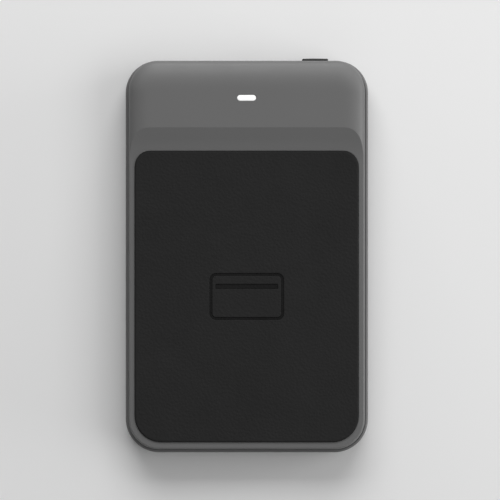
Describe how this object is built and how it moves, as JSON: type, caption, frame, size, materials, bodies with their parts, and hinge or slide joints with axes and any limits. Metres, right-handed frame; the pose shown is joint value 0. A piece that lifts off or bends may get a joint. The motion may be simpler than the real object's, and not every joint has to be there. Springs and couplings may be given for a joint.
{
  "type": "contactless ticket validator",
  "caption": "Flat contactless ticket validator: rounded two-part case, raised head with a lamp, ramp down to a black tap pad, push button in the top edge, rubber feet on the back.",
  "frame": {"origin": "on the supporting surface, under the middle of the case, level with the undersides of the rubber feet", "axes": "+Z towards the tap pad and the person who taps, +Y towards the head and the top edge with the button, +X to the right seen from the front"},
  "size_m": [0.065, 0.1057, 0.014],
  "materials": {
    "case_plastic": "fine-textured grey moulded plastic",
    "pad_plastic": "grained black plastic",
    "lens_plastic": "white diffusing lens",
    "button_plastic": "dark grey moulded plastic",
    "foot_rubber": "matt black rubber",
    "adhesive_film": "clear adhesive film",
    "green_laminate": "green circuit board",
    "copper": "bare copper line",
    "ferrite": "dark flexible ferrite sheet",
    "amber_film": "amber film ribbon",
    "ivory_moulding": "ivory connector plastic",
    "black_moulding": "black moulding",
    "steel": "bright steel",
    "tin_plate": "dull tin plate",
    "pouch_foil": "dull silver foil",
    "foam": "dark foam tape",
    "red_jacket": "red wire jacket",
    "black_jacket": "black wire jacket"
  },
  "bodies": {
    "housing": {"front_shell": "case_plastic", "rear_shell": "case_plastic", "tap_pad": "pad_plastic", "pad_adhesive": "adhesive_film", "light_pipe": "lens_plastic", "status_led": "ivory_moulding", "switch_body": "black_moulding", "switch_dome": "steel", "main_board": "green_laminate", "shield_can": "tin_plate", "reader_chip": "black_moulding", "clock_crystal": "tin_plate", "controller_chip": "black_moulding", "buzzer": "black_moulding", "cable_port_shell": "steel", "cable_port_tongue": "black_moulding", "antenna_board": "green_laminate", "antenna_coil": "copper", "ferrite_sheet": "ferrite", "antenna_flex": "amber_film", "flex_connector": "ivory_moulding", "battery_cell": "pouch_foil", "battery_guard_board": "green_laminate", "battery_foam": "foam", "battery_lead_red": "red_jacket", "battery_lead_black": "black_jacket", "battery_plug": "ivory_moulding", "battery_socket": "ivory_moulding", "housing_screw_1": "steel", "housing_screw_2": "steel", "housing_screw_3": "steel", "housing_screw_4": "steel", "board_screw_1": "steel", "board_screw_2": "steel", "rubber_foot_1": "foot_rubber", "rubber_foot_2": "foot_rubber", "rubber_foot_3": "foot_rubber", "rubber_foot_4": "foot_rubber"},
    "button": {"power_button": "button_plastic"},
    "plunger": {"switch_plunger": "ivory_moulding"}
  },
  "joints": [
    {"name": "power_button_press", "type": "slide", "parent": "housing", "child": "button", "axis": [0, -1, 0], "range_m": [0, 0.0005], "stiffness_N_per_m": 1200},
    {"name": "switch_plunger_press", "type": "slide", "parent": "housing", "child": "plunger", "axis": [0, -1, 0], "range_m": [0, 0.0005], "deforming": ["switch_dome"]}
  ],
  "couplings": [
    {"joint": "switch_plunger_press", "follows": "power_button_press", "ratio": 1}
  ]
}
